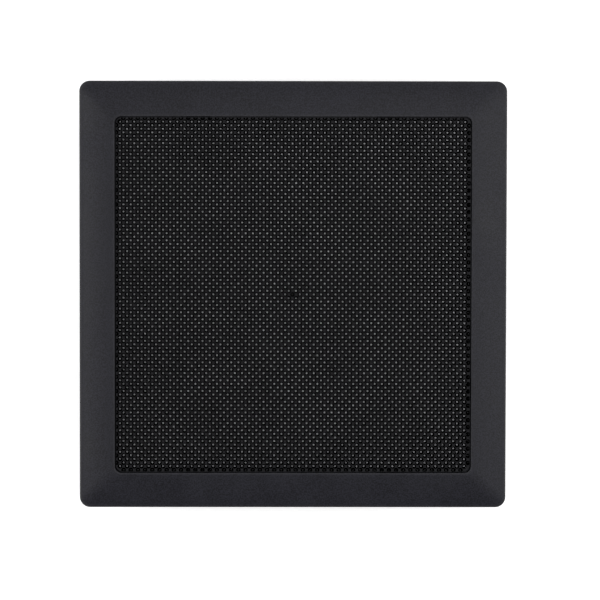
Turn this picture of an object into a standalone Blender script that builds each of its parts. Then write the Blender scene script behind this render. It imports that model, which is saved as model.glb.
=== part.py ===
"""A flat square mesh Wi-Fi node, lying on its back with its perforated front facing +Z.

Metres, +Z up. The origin is the centre of the plane that the four feet and the wall bracket rest on.
The sockets and buttons are in the -Y side wall, which hangs downwards when the node is on a wall.
"""

import math

import bmesh
import bpy
from mathutils import Matrix, Vector

MM = 0.001

# Driving dimensions
SIDE = 180 * MM  # outer width and depth of the front bezel
THICK = 36 * MM  # soles of the feet to the crest of the bezel
GAP = 0.3 * MM  # air between neighbouring pieces
WALL = 2.2 * MM  # moulded wall of the housing
FIELD = 150.6 * MM  # clear opening of the bezel, which the perforated panel fills
BACK = 2.2 * MM  # height of the housing's back face above the soles
WELL_R = 50 * MM  # round recess in the back, which takes the wall bracket
BOARD_Z = 8.4 * MM  # underside of the main board
BOARD_THICK = 1.6 * MM

# Bezel section
BEZEL_OUTER_R = 4.4 * MM
BEZEL_INNER_R = 3.2 * MM
SKIRT_BOTTOM = 25.6 * MM
SKIRT_WALL = 2.4 * MM
BEZEL_FALL = 2.4 * MM  # from the crest to the outer edge
BEZEL_UNDERSIDE = 31.6 * MM
LEDGE = 1.4 * MM  # width of the step that carries the panel
LEDGE_TOP = 33.1 * MM

# Worked out from the driving dimensions
HALF = SIDE / 2
HALF_FIELD = FIELD / 2
HOUSING_HALF = HALF - SKIRT_WALL - GAP
HOUSING_INNER = HOUSING_HALF - WALL
HOUSING_R = 6 * MM
HOUSING_TOP = BEZEL_UNDERSIDE - GAP
FLOOR_TOP = BACK + WALL
PANEL_BOTTOM = LEDGE_TOP + GAP
PANEL_THICK = 1.6 * MM
PANEL_HALF = HALF_FIELD - GAP
SCREEN_THICK = 0.4 * MM
SCREEN_BOTTOM = PANEL_BOTTOM - GAP - SCREEN_THICK
SCREEN_HALF = HALF_FIELD - LEDGE - 0.4 * MM
BOARD_TOP = BOARD_Z + BOARD_THICK
ON_BOARD = BOARD_TOP + GAP  # underside of what is soldered to the board
WELL_ROOF = BACK + 3.2 * MM

# Places in the plan, from the centre
POST_XY = 78.5 * MM  # the bezel's posts, the housing's bosses and their screws
FOOT_XY = 64 * MM
BOARD_X = 72 * MM
BOARD_FRONT = -(HOUSING_INNER - 0.7 * MM)
BOARD_REAR = 44 * MM
BOARD_SCREWS = [(sx * 66 * MM, y * MM) for sx in (-1, 1) for y in (-72, 38)]
WAN_X = -26 * MM
LAN_X = -6 * MM
POWER_X = -52 * MM
POWER_Z = 16 * MM
SYNC_X = 20 * MM
RESET_X = 36 * MM
BUTTON_Z = 15 * MM
SWITCH_Y = -79.2 * MM  # front of the switches, behind their keys

# Vent slots
VENT_PITCH = 7 * MM
VENT_HALF = 1.5 * MM

# Sockets
JACK_HALF = 8 * MM
JACK_TOP = 23.5 * MM
JACK_DEEP = 21 * MM

# Screw bores, which leave the threads out
SHANK_BORE_R = 1.8 * MM
BOARD_PILOT_R = 1.5 * MM
SINK_PIN_BORE_R = 1.7 * MM

# Bracket: hooked lugs twist in above ledges in the well, between two stops
BRACKET_R = 54 * MM
BRACKET_THICK = 1.8 * MM
LUG_LOW = 3.7 * MM
LUG_HIGH = 5 * MM
LUG_R = 49 * MM
LUG_WIDTH = 24  # degrees round the axis
LEDGE_WIDTH = 36
SCREW_CIRCLE_R = 30 * MM

COARSE, MEDIUM, FINE = 16, 24, 64  # sides of small, middling and large round shapes


# ---------------------------------------------------------------- helpers


def clear_scene():
    for obj in list(bpy.data.objects):
        bpy.data.objects.remove(obj, do_unlink=True)


def plastic_or_metal(name, colour, roughness, metallic=0.0):
    made = bpy.data.materials.new(name)
    made.use_nodes = True
    shader = made.node_tree.nodes["Principled BSDF"]
    shader.inputs["Base Color"].default_value = (*colour, 1)
    shader.inputs["Roughness"].default_value = roughness
    shader.inputs["Metallic"].default_value = metallic
    return made


def place(name, bm, material=None, location=(0, 0, 0)):
    """A scene object from a bmesh, with smooth round sides and sharp corners."""
    bmesh.ops.recalc_face_normals(bm, faces=bm.faces)
    mesh = bpy.data.meshes.new(name)
    bm.to_mesh(mesh)
    bm.free()
    mesh.shade_smooth()
    mesh.set_sharp_from_angle(angle=math.radians(35))
    return place_mesh(name, mesh, material, location)


def place_mesh(name, mesh, material, location):
    obj = bpy.data.objects.new(name, mesh)
    obj.location = location
    if material and not mesh.materials:
        mesh.materials.append(material)
    bpy.context.scene.collection.objects.link(obj)
    return obj


def combine(obj, operation, bm):
    """Adds the shapes in bm to obj, or cuts them away. The shapes don't touch each other."""
    tool = place(f"{obj.name}_{operation.lower()}", bm)
    tool.hide_render = True
    tool.display_type = "WIRE"
    modifier = obj.modifiers.new(tool.name, "BOOLEAN")
    modifier.operation = operation
    modifier.solver = "EXACT"
    modifier.object = tool


def box(bm, low, high):
    low, high = Vector(low), Vector(high)
    shape = Matrix.Translation((low + high) / 2) @ Matrix.Diagonal((*(high - low), 1))
    bmesh.ops.create_cube(bm, size=1, matrix=shape)


def disc(bm, centre, radius, low, high, sides=MEDIUM):
    """An upright cylinder between two heights."""
    middle = Matrix.Translation((*centre, (low + high) / 2))
    bmesh.ops.create_cone(
        bm, cap_ends=True, segments=sides, radius1=radius, radius2=radius, depth=high - low, matrix=middle
    )


def loft(bm, rings, closed=False):
    """Skins rings of equal length. An open loft is capped, and a closed one runs back to its start."""
    rows = [[bm.verts.new(point) for point in ring] for ring in rings]
    pairs = list(zip(rows, rows[1:]))
    if closed:
        pairs.append((rows[-1], rows[0]))
    else:
        bm.faces.new(rows[0])
        bm.faces.new(rows[-1])
    for below, above in pairs:
        for i in range(len(below)):
            j = (i + 1) % len(below)
            bm.faces.new((below[i], below[j], above[j], above[i]))


def prism(bm, outline, start, depth):
    """Moves an outline along depth and fills both ends."""
    start, depth = Vector(start), Vector(depth)
    near = [start + Vector(point) for point in outline]
    loft(bm, [near, [point + depth for point in near]])


def rounded_square(half, radius, z, steps=5):
    points = []
    for quarter in range(4):
        middle = math.radians(45 + 90 * quarter)
        inset = (half - radius) * math.sqrt(2)
        for step in range(steps + 1):
            angle = math.radians(90 * quarter + 90 * step / steps)
            x = inset * math.cos(middle) + radius * math.cos(angle)
            y = inset * math.sin(middle) + radius * math.sin(angle)
            points.append((x, y, z))
    return points


def sector(bm, inner, outer, middle, width, low, high, steps=6):
    """A block bent round the Z axis, from its middle angle and its width in degrees."""
    def ring(z):
        angles = [math.radians(middle + width * (i / steps - 0.5)) for i in range(steps + 1)]
        out = [(outer * math.cos(a), outer * math.sin(a), z) for a in angles]
        back = [(inner * math.cos(a), inner * math.sin(a), z) for a in reversed(angles)]
        return out + back

    loft(bm, [ring(low), ring(high)])


def turned(bm, profile, centre, axis, sides=MEDIUM):
    """A solid of revolution. The profile lists (distance along axis, radius) between its flat ends."""
    along = Vector(axis)
    side = along.orthogonal().normalized()
    start = Vector(centre)
    rings = []
    for distance, radius in profile:
        turns = [Matrix.Rotation(2 * math.pi * i / sides, 3, along) for i in range(sides)]
        rings.append([start + along * distance + turn @ side * radius for turn in turns])
    loft(bm, rings)


def corners(distance):
    return [(sx * distance, sy * distance) for sx in (-1, 1) for sy in (-1, 1)]


# ---------------------------------------------------------------- casing


def front_bezel(material):
    """The moulded frame: a skirt, a face that falls away from its crest, and a step inside for the panel."""
    crest = HALF_FIELD + 1.5 * MM
    edge = HALF - 0.7 * MM
    edge_z = THICK - BEZEL_FALL
    section = [
        (HALF, BEZEL_OUTER_R, SKIRT_BOTTOM),
        (HALF, BEZEL_OUTER_R, edge_z - 0.7 * MM),
        (HALF - 0.2 * MM, BEZEL_OUTER_R, edge_z - 0.2 * MM),
    ]
    # The face is gently convex: steepest at its edge and level at its crest
    for step in range(5):
        share = 1 - step / 4
        radius = BEZEL_INNER_R + (BEZEL_OUTER_R - BEZEL_INNER_R) * share
        section.append((crest + (edge - crest) * share, radius, THICK - BEZEL_FALL * share**1.6))
    section += [
        (HALF_FIELD + 0.5 * MM, BEZEL_INNER_R, THICK),
        (HALF_FIELD, BEZEL_INNER_R, THICK - 0.5 * MM),
        (HALF_FIELD, BEZEL_INNER_R, LEDGE_TOP),
        (HALF_FIELD - LEDGE, BEZEL_INNER_R, LEDGE_TOP),
        (HALF_FIELD - LEDGE, BEZEL_INNER_R, BEZEL_UNDERSIDE),
        (HALF - SKIRT_WALL, BEZEL_OUTER_R, BEZEL_UNDERSIDE),
        (HALF - SKIRT_WALL, BEZEL_OUTER_R, SKIRT_BOTTOM),
    ]
    bm = bmesh.new()
    loft(bm, [rounded_square(*station) for station in section], closed=True)
    bezel = place("front_bezel", bm, material)

    posts = bmesh.new()
    cuts = bmesh.new()
    for at in corners(POST_XY):
        disc(posts, at, 3.4 * MM, 12 * MM, BEZEL_UNDERSIDE + 0.5 * MM)
        disc(cuts, at, SHANK_BORE_R, 11 * MM, 24 * MM, COARSE)
    for middle, along in tongue_places():
        # A notch in the ledge lets each tongue of the panel through
        plan_box(cuts, middle, along, 10 * MM, 2 * MM, BEZEL_UNDERSIDE - 1 * MM, LEDGE_TOP + 0.2 * MM)
    combine(bezel, "UNION", posts)
    combine(bezel, "DIFFERENCE", cuts)


def tongue_places():
    """Two tongues on each side of the panel: (middle, direction of the side)."""
    reach = PANEL_HALF - 0.6 * MM
    for offset in (-40 * MM, 40 * MM):
        for sign in (-1, 1):
            yield (sign * reach, offset), (0, 1)
            yield (offset, sign * reach), (1, 0)


def plan_box(bm, middle, along, length, width, low, high):
    """A box from its middle in the plan, its length along the given axis and its width across it."""
    x, y = middle
    half_x, half_y = (length / 2, width / 2) if along[0] else (width / 2, length / 2)
    box(bm, (x - half_x, y - half_y, low), (x + half_x, y + half_y, high))


def grille_panel(material, parent):
    """The perforated insert. Its thousands of small holes are left out of this solid."""
    bm = bmesh.new()
    radius = BEZEL_INNER_R - GAP
    top = PANEL_BOTTOM + PANEL_THICK
    loft(bm, [rounded_square(PANEL_HALF, radius, z) for z in (PANEL_BOTTOM, top)])
    panel = place("grille_panel", bm, material)
    tongues = bmesh.new()
    for middle, along in tongue_places():
        plan_box(tongues, middle, along, 9 * MM, 0.9 * MM, 30.2 * MM, PANEL_BOTTOM + 0.5 * MM)
    combine(panel, "UNION", tongues)
    panel.parent = parent


def dust_screen(material, parent):
    """The fine screen behind the panel, with an oblong window over the light pipe."""
    bm = bmesh.new()
    top = SCREEN_BOTTOM + SCREEN_THICK
    loft(bm, [rounded_square(SCREEN_HALF, 2 * MM, z) for z in (SCREEN_BOTTOM, top)])
    screen = place("dust_screen", bm, material)
    window = bmesh.new()
    oblong(window, 7.4 * MM, 2.6 * MM, SCREEN_BOTTOM - 1 * MM, top + 0.2 * MM)
    combine(screen, "DIFFERENCE", window)
    screen.parent = parent


def oblong(bm, length, width, low, high, carry=None, steps=8):
    """An upright solid with two straight sides along X and round ends. carry moves it elsewhere."""
    carry = carry or Matrix.Identity(4)
    radius = width / 2
    reach = length / 2 - radius
    outline = []
    for sign, first in ((1, -90), (-1, 90)):
        for step in range(steps + 1):
            angle = math.radians(first + 180 * step / steps)
            point = Vector((sign * reach + radius * math.cos(angle), radius * math.sin(angle), 0))
            outline.append(carry @ point)
    prism(bm, outline, (0, 0, low), (0, 0, high - low))


def rear_housing(material):
    """The back shell: a tray with a round well for the bracket, bosses, vents and the socket openings."""
    chamfer = 1.4 * MM
    bm = bmesh.new()
    rings = [
        rounded_square(HOUSING_HALF - chamfer, HOUSING_R - chamfer, BACK),
        rounded_square(HOUSING_HALF, HOUSING_R, BACK + chamfer),
        rounded_square(HOUSING_HALF, HOUSING_R, HOUSING_TOP),
        rounded_square(HOUSING_INNER, HOUSING_R - WALL, HOUSING_TOP),
        rounded_square(HOUSING_INNER, HOUSING_R - WALL, FLOOR_TOP),
    ]
    loft(bm, rings)
    housing = place("rear_housing", bm, material)

    raised = bmesh.new()
    disc(raised, (0, 0), WELL_R + WALL, FLOOR_TOP - 1 * MM, WELL_ROOF + 1.6 * MM, FINE)
    for at in BOARD_SCREWS:
        disc(raised, at, 3.2 * MM, FLOOR_TOP - 1 * MM, BOARD_Z - GAP)
    for at in corners(POST_XY):
        disc(raised, at, 4.6 * MM, FLOOR_TOP - 1 * MM, 11.7 * MM)
    combine(housing, "UNION", raised)

    cuts = bmesh.new()
    disc(cuts, (0, 0), WELL_R, 0, WELL_ROOF, FINE)
    cut_screw_holes(cuts)
    cut_vents(cuts)
    cut_sockets(cuts)
    combine(housing, "DIFFERENCE", cuts)

    # In each quarter of the well: a ledge under the bracket's lug, and a stop at each end of the lug's travel
    ledges = bmesh.new()
    stops = bmesh.new()
    for quarter in range(4):
        middle = 90 * quarter
        sector(ledges, 45 * MM, WELL_R + 1 * MM, middle, LEDGE_WIDTH, 2.5 * MM, LUG_LOW - GAP)
        for stop in (-15, 47.5):
            sector(stops, 45.6 * MM, WELL_R + 1 * MM, middle + stop, 3, 3 * MM, WELL_ROOF + 0.8 * MM, 1)
    combine(housing, "UNION", ledges)
    combine(housing, "UNION", stops)


def cut_screw_holes(bm):
    for at in corners(POST_XY):
        # A pocket for the head and a smaller hole for the shank
        pocket_r, pocket_top = 3.2 * MM, 5 * MM
        profile = [(0, pocket_r), (pocket_top, pocket_r), (pocket_top, SHANK_BORE_R), (13 * MM, SHANK_BORE_R)]
        turned(bm, profile, (*at, 0), (0, 0, 1))
    for at in corners(FOOT_XY):
        disc(bm, at, 6.4 * MM, 1 * MM, BACK + 0.6 * MM)
    for at in BOARD_SCREWS:
        disc(bm, at, BOARD_PILOT_R, FLOOR_TOP + 0.6 * MM, BOARD_Z + 1 * MM, COARSE)


def cut_vents(bm):
    """Slots in the +Y wall and along the -Y edge of the back."""
    for i in range(8):
        x = (i - 3.5) * VENT_PITCH
        low = (x - VENT_HALF, HOUSING_INNER - 1 * MM, 9 * MM)
        box(bm, low, (x + VENT_HALF, HOUSING_HALF + 1 * MM, 21 * MM))
    for i in range(13):
        x = (i - 6) * VENT_PITCH
        box(bm, (x - VENT_HALF, -76 * MM, 1 * MM), (x + VENT_HALF, -60 * MM, FLOOR_TOP + 1 * MM))


def cut_sockets(bm):
    """Openings in the -Y wall for the sockets and buttons."""
    outside = -(HOUSING_HALF + 1 * MM)
    inside = -(HOUSING_INNER - 1 * MM)
    for x in (WAN_X, LAN_X):
        reach = JACK_HALF + GAP
        box(bm, (x - reach, outside, ON_BOARD - GAP), (x + reach, inside, JACK_TOP + GAP))
    for x, z, radius in ((POWER_X, POWER_Z, 4.6), (SYNC_X, BUTTON_Z, 3.5), (RESET_X, BUTTON_Z, 1.6)):
        profile = [(0, radius * MM), (inside - outside, radius * MM)]
        turned(bm, profile, (x, outside, z), (0, 1, 0))


# ---------------------------------------------------------------- electronics


def main_board(material):
    bm = bmesh.new()
    box(bm, (-BOARD_X, BOARD_FRONT, BOARD_Z), (BOARD_X, BOARD_REAR, BOARD_TOP))
    board = place("main_board", bm, material)
    holes = bmesh.new()
    for at in BOARD_SCREWS:
        disc(holes, at, SHANK_BORE_R, BOARD_Z - 1 * MM, BOARD_TOP + 1 * MM, COARSE)
    for at in sink_pin_places():
        disc(holes, at, SINK_PIN_BORE_R, BOARD_Z - 1 * MM, BOARD_TOP + 1 * MM, COARSE)
    combine(board, "DIFFERENCE", holes)


def shield(name, material, low, high):
    """A thin pressed can over a group of chips, open towards the board."""
    sheet = 0.4 * MM
    top = ON_BOARD + 2.6 * MM
    bm = bmesh.new()
    box(bm, (*low, ON_BOARD), (*high, top))
    can = place(name, bm, material)
    inside = bmesh.new()
    low_inside = (low[0] + sheet, low[1] + sheet, ON_BOARD - 1 * MM)
    box(inside, low_inside, (high[0] - sheet, high[1] - sheet, top - sheet))
    combine(can, "DIFFERENCE", inside)


SINK_LOW = Vector((8 * MM, -40 * MM))
SINK_HIGH = Vector((64 * MM, 16 * MM))
SINK_BASE = 14.1 * MM
SINK_TOP = 26 * MM


def sink_pin_places():
    """The two ears of the heat sink, at opposite corners."""
    return [(SINK_LOW.x + 5 * MM, SINK_LOW.y - 4 * MM), (SINK_HIGH.x - 5 * MM, SINK_HIGH.y + 4 * MM)]


def heat_sink(material):
    """An extruded comb with eleven fins, and two ears that take its pins."""
    fins = 11
    fin = 1.4 * MM
    base_top = SINK_BASE + 2.5 * MM
    pitch = (SINK_HIGH.x - SINK_LOW.x - fin) / (fins - 1)
    outline = [(SINK_LOW.x, 0, SINK_BASE), (SINK_LOW.x, 0, SINK_TOP), (SINK_LOW.x + fin, 0, SINK_TOP)]
    for i in range(1, fins):
        left = SINK_LOW.x + i * pitch
        outline += [(left - pitch + fin, 0, base_top), (left, 0, base_top)]
        outline += [(left, 0, SINK_TOP), (left + fin, 0, SINK_TOP)]
    outline.append((SINK_HIGH.x, 0, SINK_BASE))
    bm = bmesh.new()
    prism(bm, outline, (0, SINK_LOW.y, 0), (0, SINK_HIGH.y - SINK_LOW.y, 0))
    sink = place("heat_sink", bm, material)
    ears = bmesh.new()
    for (x, y), inward in zip(sink_pin_places(), (1, -1)):
        near, far = sorted((y - 4 * MM * inward, y + 6 * MM * inward))
        low = (x - 4 * MM, near, SINK_BASE + 0.2 * MM)
        box(ears, low, (x + 4 * MM, far, base_top - 0.2 * MM))
    combine(sink, "UNION", ears)
    holes = bmesh.new()
    for at in sink_pin_places():
        disc(holes, at, SINK_PIN_BORE_R, SINK_BASE - 1 * MM, base_top + 1 * MM, COARSE)
    combine(sink, "DIFFERENCE", holes)


def sink_pins(material):
    profile = [(7.6, 0.6), (8.1, 1.3), (16.6, 1.3), (16.6, 2.6), (18.2, 2.6), (18.6, 2.2)]
    for number, at in enumerate(sink_pin_places(), 1):
        bm = bmesh.new()
        turned(bm, [(z * MM, radius * MM) for z, radius in profile], (0, 0, 0), (0, 0, 1), COARSE)
        place(f"heat_sink_pin_{number}", bm, material, (*at, 0))


def network_jack(name, x, material):
    """A shielded eight-way network socket, open at the front, with a stepped notch for the plug's latch."""
    front = -(HOUSING_HALF + GAP)
    bm = bmesh.new()
    box(bm, (x - JACK_HALF, front, ON_BOARD), (x + JACK_HALF, front + JACK_DEEP, JACK_TOP))
    jack = place(name, bm, material)
    # Half width, bottom and top of each step of the opening, in millimetres, from the notch up
    side = []
    for half, low, high in ((1.95, 11.6, 12.8), (3.1, 12.8, 14.6), (5.95, 14.6, 21.5)):
        side += [(half * MM, 0, low * MM), (half * MM, 0, high * MM)]
    outline = side + [(-px, py, pz) for px, py, pz in reversed(side)]
    opening = bmesh.new()
    prism(opening, outline, (x, front - 1 * MM, 0), (0, 14 * MM, 0))
    combine(jack, "DIFFERENCE", opening)


def power_inlet(material, pin_material):
    """A barrel socket: a body on the board, a nose through the wall, and a centre pin."""
    back_of_wall = -(HOUSING_INNER - GAP)
    nose = -HOUSING_HALF
    half = 4.6 * MM
    bm = bmesh.new()
    low = (POWER_X - half, back_of_wall, ON_BOARD)
    box(bm, low, (POWER_X + half, back_of_wall + 13 * MM, POWER_Z + 5.3 * MM))
    inlet = place("power_inlet", bm, material)
    snout = bmesh.new()
    turned(snout, [(0, 4.2 * MM), (3.5 * MM, 4.2 * MM)], (POWER_X, nose, POWER_Z), (0, 1, 0))
    combine(inlet, "UNION", snout)
    barrel = bmesh.new()
    turned(barrel, [(-1 * MM, 3 * MM), (10 * MM, 3 * MM)], (POWER_X, nose, POWER_Z), (0, 1, 0))
    combine(inlet, "DIFFERENCE", barrel)
    pin = bmesh.new()
    tip = [(0.6, 0.5), (1.0, 1.0), (9.7, 1.0)]
    turned(pin, [(y * MM, radius * MM) for y, radius in tip], (POWER_X, nose, POWER_Z), (0, 1, 0), COARSE)
    place("inlet_pin", pin, pin_material)


def push_button(name, x, profile, material):
    """A turned plunger whose origin lies on its line of travel, at the outer face of the wall."""
    bm = bmesh.new()
    turned(bm, [(y * MM, radius * MM) for y, radius in profile], (0, 0, 0), (0, 1, 0))
    place(name, bm, material, (x, -HOUSING_HALF, BUTTON_Z))


def push_switch(name, x, material):
    """A small switch on the board, with its key towards the button."""
    half = 3.1 * MM
    key_r = 1.4 * MM
    bm = bmesh.new()
    box(bm, (x - half, SWITCH_Y, ON_BOARD), (x + half, SWITCH_Y + 4 * MM, BUTTON_Z + half))
    switch = place(name, bm, material)
    key = bmesh.new()
    turned(key, [(-0.8 * MM, key_r), (1 * MM, key_r)], (x, SWITCH_Y, BUTTON_Z), (0, 1, 0), COARSE)
    combine(switch, "UNION", key)


def light_pipe(material):
    """A cup over the status light, a round stem, and an oblong head that fills the screen's window."""
    head_bottom = 31 * MM
    bm = bmesh.new()
    cup_r = 3.2 * MM
    profile = [(ON_BOARD, cup_r), (13.5 * MM, cup_r), (14 * MM, 1.5 * MM), (head_bottom + 0.5 * MM, 1 * MM)]
    turned(bm, profile, (0, 0, 0), (0, 0, 1))
    pipe = place("led_light_pipe", bm, material)
    head = bmesh.new()
    oblong(head, 6.8 * MM, 2.0 * MM, head_bottom, SCREEN_BOTTOM + SCREEN_THICK)
    combine(pipe, "UNION", head)
    hollow = bmesh.new()
    disc(hollow, (0, 0), 2.4 * MM, ON_BOARD - 1 * MM, 12.4 * MM)
    combine(pipe, "DIFFERENCE", hollow)


# ---------------------------------------------------------------- antennas and their leads

ANTENNA_LONG, ANTENNA_TALL, ANTENNA_THIN = 40 * MM, 10 * MM, 0.8 * MM
ANTENNA_LOW = 12 * MM
LEAD_R = 0.6 * MM

# Each antenna: (middle along its wall, which wall, its lead's route in millimetres to its plug)
ANTENNAS = {
    "left": (
        (-1, 0), -20,
        [(-82.9, -22, 15), (-82.6, -30, 14.8), (-81.6, -38, 14.2), (-78.6, -44.5, 13.4),
         (-73.4, -45.4, 12.4), (-69.2, -41.4, 11.5), (-65.9, -38, 11.2)],
    ),
    "upper_left": (
        (0, 1), -52,
        [(-54, 82.9, 15), (-62, 80.6, 14.6), (-71, 72, 13.8), (-76.6, 58, 13), (-78.4, 34, 12.6),
         (-78.2, 8, 12.3), (-76, -12, 11.9), (-71, -19.4, 11.5), (-65.9, -20, 11.2)],
    ),
    "upper_right": (
        (0, 1), 52,
        [(50, 82.9, 15), (42, 80.8, 14.6), (28, 71, 13.8), (8, 62.4, 13), (-28, 60, 12.6), (-58, 55.6, 12.5),
         (-71.6, 42.6, 12.3), (-74.4, 24, 12), (-73.4, 9, 11.7), (-70, 2.6, 11.4), (-65.9, 2, 11.2)],
    ),
    "right": (
        (1, 0), -20,
        [(82.9, -18, 15), (82.6, -6, 14.8), (81, 14, 14.2), (76.6, 34, 13.4), (63, 49.6, 12.8),
         (32, 53, 12.6), (-18, 53, 12.6), (-44, 50.4, 12.5), (-56.6, 41, 12.3), (-61.8, 30, 11.8),
         (-63.8, 24, 11.4), (-64, 19.9, 11.2)],
    ),
}
PLUGS = {"left": (-64, -38), "upper_left": (-64, -20), "upper_right": (-64, 2), "right": (-64, 18)}


def antenna(name, wall, along_mm, material):
    """A thin printed antenna held flat against the inside of a wall."""
    face = HOUSING_INNER - GAP - ANTENNA_THIN / 2
    if wall[0]:
        middle, along = (wall[0] * face, along_mm * MM), (0, 1)
    else:
        middle, along = (along_mm * MM, wall[1] * face), (1, 0)
    bm = bmesh.new()
    plan_box(bm, middle, along, ANTENNA_LONG, ANTENNA_THIN, ANTENNA_LOW, ANTENNA_LOW + ANTENNA_TALL)
    place(name, bm, material)


def smooth_route(points, spacing):
    """Points about one spacing apart on a Catmull-Rom curve through the given ones."""
    ends = [2 * points[0] - points[1]] + points + [2 * points[-1] - points[-2]]
    route = []
    for before, start, end, after in zip(ends, ends[1:], ends[2:], ends[3:]):
        count = max(1, round((end - start).length / spacing))
        for i in range(count):
            t = i / count
            bend = (2 * before - 5 * start + 4 * end - after) * t * t
            twist = (3 * start - before - 3 * end + after) * t * t * t
            route.append((2 * start + (end - before) * t + bend + twist) / 2)
    return route + [points[-1]]


def lead(name, route_mm, material):
    """A thin coaxial lead, clipped between an antenna and its plug."""
    route = smooth_route([Vector(point) * MM for point in route_mm], 4 * MM)
    curve = bpy.data.curves.new(name, "CURVE")
    curve.dimensions = "3D"
    curve.bevel_depth = LEAD_R
    curve.bevel_resolution = 2
    curve.use_fill_caps = True
    spline = curve.splines.new("POLY")
    spline.points.add(len(route) - 1)
    for target, point in zip(spline.points, route):
        target.co = (*point, 1)
    curve.materials.append(material)
    bpy.context.scene.collection.objects.link(bpy.data.objects.new(name, curve))


def coax_plug(name, at_mm, material):
    bm = bmesh.new()
    profile = [(10.3, 1.4), (11.9, 1.4), (12.1, 1.1)]
    turned(bm, [(z * MM, radius * MM) for z, radius in profile], (0, 0, 0), (0, 0, 1), COARSE)
    place(name, bm, material, (at_mm[0] * MM, at_mm[1] * MM, 0))


# ---------------------------------------------------------------- fasteners, feet and bracket


def turned_copies(name, places, profile, material):
    """Copies of one upright turned piece, which share a mesh. The profile is (height, radius) in mm."""
    bm = bmesh.new()
    turned(bm, [(z * MM, radius * MM) for z, radius in profile], (0, 0, 0), (0, 0, 1), COARSE)
    first = place(f"{name}_1", bm, material, (*places[0], 0))
    for number, at in enumerate(places[1:], 2):
        place_mesh(f"{name}_{number}", first.data, material, (*at, 0))


def wall_bracket(material, parent):
    """The round plate that is screwed to a wall. Four hooked lugs twist in above the housing's ledges."""
    bm = bmesh.new()
    disc(bm, (0, 0), BRACKET_R, 0, BRACKET_THICK, FINE)
    bracket = place("wall_bracket", bm, material)
    uprights = bmesh.new()
    lugs = bmesh.new()
    cuts = bmesh.new()
    disc(cuts, (0, 0), 6 * MM, -1 * MM, BRACKET_THICK + 1 * MM)
    for quarter in range(4):
        middle = 90 * quarter
        sector(uprights, 40 * MM, 44.4 * MM, middle, LUG_WIDTH, BRACKET_THICK - 1 * MM, LUG_HIGH - 0.1 * MM)
        sector(lugs, 41 * MM, LUG_R, middle, LUG_WIDTH - 0.4, LUG_LOW, LUG_HIGH)
        # The wall screws' slots point at the centre, on both diagonals
        turn = Matrix.Rotation(math.radians(middle + 45), 4, "Z")
        carry = turn @ Matrix.Translation((SCREW_CIRCLE_R, 0, 0))
        oblong(cuts, 12 * MM, 4.4 * MM, -1 * MM, BRACKET_THICK + 1 * MM, carry)
    combine(bracket, "UNION", uprights)
    combine(bracket, "UNION", lugs)
    combine(bracket, "DIFFERENCE", cuts)
    bracket.parent = parent


def empty(name):
    made = bpy.data.objects.new(name, None)
    bpy.context.scene.collection.objects.link(made)
    return made


# ---------------------------------------------------------------- the whole node


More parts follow.
